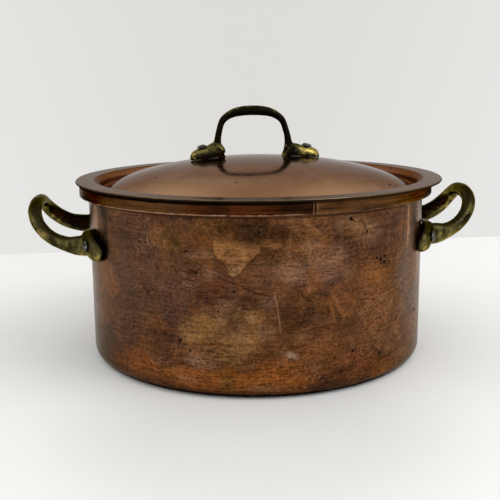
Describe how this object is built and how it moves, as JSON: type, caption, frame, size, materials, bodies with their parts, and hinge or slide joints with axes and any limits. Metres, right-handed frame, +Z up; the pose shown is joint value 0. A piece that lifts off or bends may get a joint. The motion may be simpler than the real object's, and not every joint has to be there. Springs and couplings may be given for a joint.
{
  "type": "lidded cooking pot",
  "caption": "Round copper cooking pot with a drop-in domed lid, riveted brass loop handles at the sides and a riveted brass bail handle on the lid.",
  "frame": {"origin": "centre of the flat base that the pot stands on", "axes": "+Z up along the pot's axis; +X towards the right side handle, along the line of both side handles; the picture is taken from -Y"},
  "size_m": [0.3246, 0.262, 0.1769],
  "materials": {
    "pot_copper": "aged dark copper, finely scratched",
    "lid_copper": "satin polished aged copper",
    "cast_brass": "dull cast brass, darkened in the hollows",
    "rivet_metal": "hammered and tarnished"
  },
  "bodies": {
    "pot": {"pot_body": "pot_copper", "rim_band": "pot_copper", "side_handle_left": "cast_brass", "side_handle_right": "cast_brass", "rivet_left_front": "rivet_metal", "rivet_left_rear": "rivet_metal", "rivet_right_front": "rivet_metal", "rivet_right_rear": "rivet_metal"},
    "lid": {"lid": "lid_copper", "lid_handle": "cast_brass", "lid_rivet_left": "rivet_metal", "lid_rivet_right": "rivet_metal"}
  },
  "joints": [
    {"name": "lid_lift", "type": "slide", "parent": "pot", "child": "lid", "axis": [0, 0, 1], "range_m": [0, 0.2]}
  ]
}
